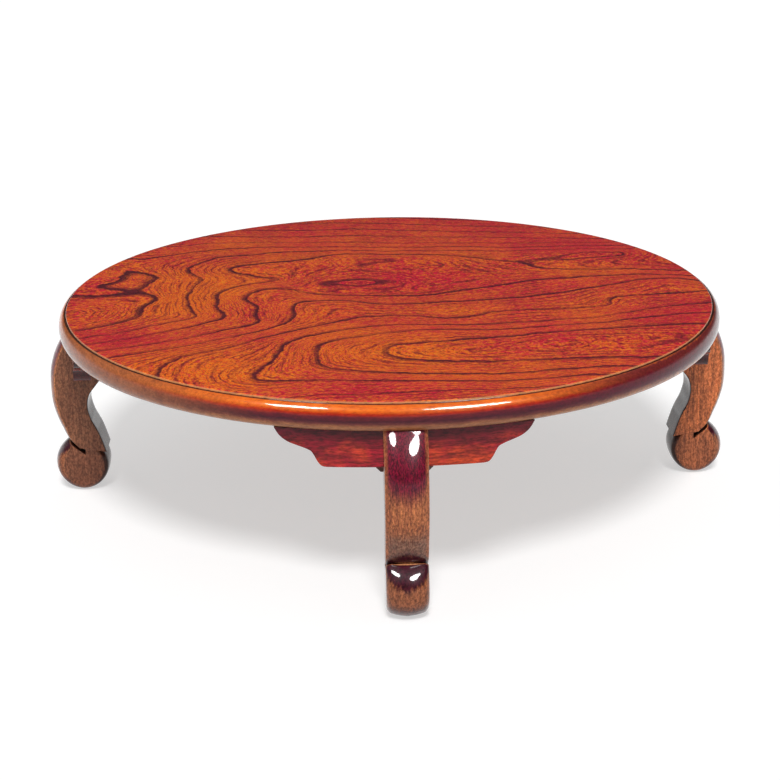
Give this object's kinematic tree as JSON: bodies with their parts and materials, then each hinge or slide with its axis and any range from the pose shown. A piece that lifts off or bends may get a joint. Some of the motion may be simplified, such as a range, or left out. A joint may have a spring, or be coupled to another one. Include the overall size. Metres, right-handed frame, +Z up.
{
  "type": "folding low table",
  "caption": "Round low folding table: glossy figured veneer top in a bullnose rim, carved cabriole legs with ogee apron wings that fold inwards on snap hinges.",
  "frame": {"origin": "on the floor, under the middle of the round top, with the legs unfolded", "axes": "+Z up; +X and +Y each point at a leg"},
  "size_m": [1.258, 1.258, 0.361],
  "materials": {
    "top_veneer": "high-gloss clear lacquer over red-stained, strongly figured zelkova veneer",
    "rim_lacquer": "high-gloss lacquer, red-orange shading to dark purple-brown",
    "leg_lacquer": "gloss lacquer, reddish brown with darker arrises",
    "apron_lacquer": "gloss lacquer, dark reddish brown",
    "core_wood": "bare board",
    "backing_veneer": "thin stained balancing veneer, satin",
    "batten_wood": "planed softwood, thin brown stain",
    "block_wood": "satin lacquer",
    "dowel_wood": "bare beech",
    "hinge_steel": "black baked enamel on 3 mm sheet steel",
    "pin_steel": "zinc-plated steel",
    "spring_steel": "blued spring steel",
    "screw_steel": "zinc-plated steel",
    "felt": "hard pressed felt"
  },
  "bodies": {
    "tabletop": {"top_panel": "top_veneer", "core_board": "core_wood", "backing_panel": "backing_veneer", "rim_segment_right": "rim_lacquer", "rim_segment_back": "rim_lacquer", "rim_segment_left": "rim_lacquer", "rim_segment_front": "rim_lacquer", "batten_across": "batten_wood", "batten_along": "batten_wood", "hinge_base_right": "hinge_steel", "hinge_pin_right": "pin_steel", "back_spring_right": "spring_steel", "hinge_base_back": "hinge_steel", "hinge_pin_back": "pin_steel", "back_spring_back": "spring_steel", "hinge_base_left": "hinge_steel", "hinge_pin_left": "pin_steel", "back_spring_left": "spring_steel", "hinge_base_front": "hinge_steel", "hinge_pin_front": "pin_steel", "back_spring_front": "spring_steel", "hinge_base_screws": "screw_steel"},
    "leg_unit_right": {"leg_right": "leg_lacquer", "foot_glide_right": "felt", "apron_right_left_wing": "apron_lacquer", "apron_right_right_wing": "apron_lacquer", "head_block_right": "block_wood", "apron_dowels_right": "dowel_wood", "hinge_leaf_right": "hinge_steel", "leaf_screws_right": "screw_steel"},
    "leg_unit_back": {"leg_back": "leg_lacquer", "foot_glide_back": "felt", "apron_back_left_wing": "apron_lacquer", "apron_back_right_wing": "apron_lacquer", "head_block_back": "block_wood", "apron_dowels_back": "dowel_wood", "hinge_leaf_back": "hinge_steel", "leaf_screws_back": "screw_steel"},
    "leg_unit_left": {"leg_left": "leg_lacquer", "foot_glide_left": "felt", "apron_left_left_wing": "apron_lacquer", "apron_left_right_wing": "apron_lacquer", "head_block_left": "block_wood", "apron_dowels_left": "dowel_wood", "hinge_leaf_left": "hinge_steel", "leaf_screws_left": "screw_steel"},
    "leg_unit_front": {"leg_front": "leg_lacquer", "foot_glide_front": "felt", "apron_front_left_wing": "apron_lacquer", "apron_front_right_wing": "apron_lacquer", "head_block_front": "block_wood", "apron_dowels_front": "dowel_wood", "hinge_leaf_front": "hinge_steel", "leaf_screws_front": "screw_steel"}
  },
  "joints": [
    {"name": "leg_right_fold", "type": "hinge", "parent": "tabletop", "child": "leg_unit_right", "pos_m": [0.5, 0, 0.297], "axis": [0, 1, 0], "range_deg": [0, 90], "deforming": ["back_spring_right"]},
    {"name": "leg_back_fold", "type": "hinge", "parent": "tabletop", "child": "leg_unit_back", "pos_m": [0, 0.5, 0.297], "axis": [-1, 0, 0], "range_deg": [0, 90], "deforming": ["back_spring_back"]},
    {"name": "leg_left_fold", "type": "hinge", "parent": "tabletop", "child": "leg_unit_left", "pos_m": [-0.5, 0, 0.297], "axis": [0, -1, 0], "range_deg": [0, 90], "deforming": ["back_spring_left"]},
    {"name": "leg_front_fold", "type": "hinge", "parent": "tabletop", "child": "leg_unit_front", "pos_m": [0, -0.5, 0.297], "axis": [1, 0, 0], "range_deg": [0, 90], "deforming": ["back_spring_front"]}
  ]
}
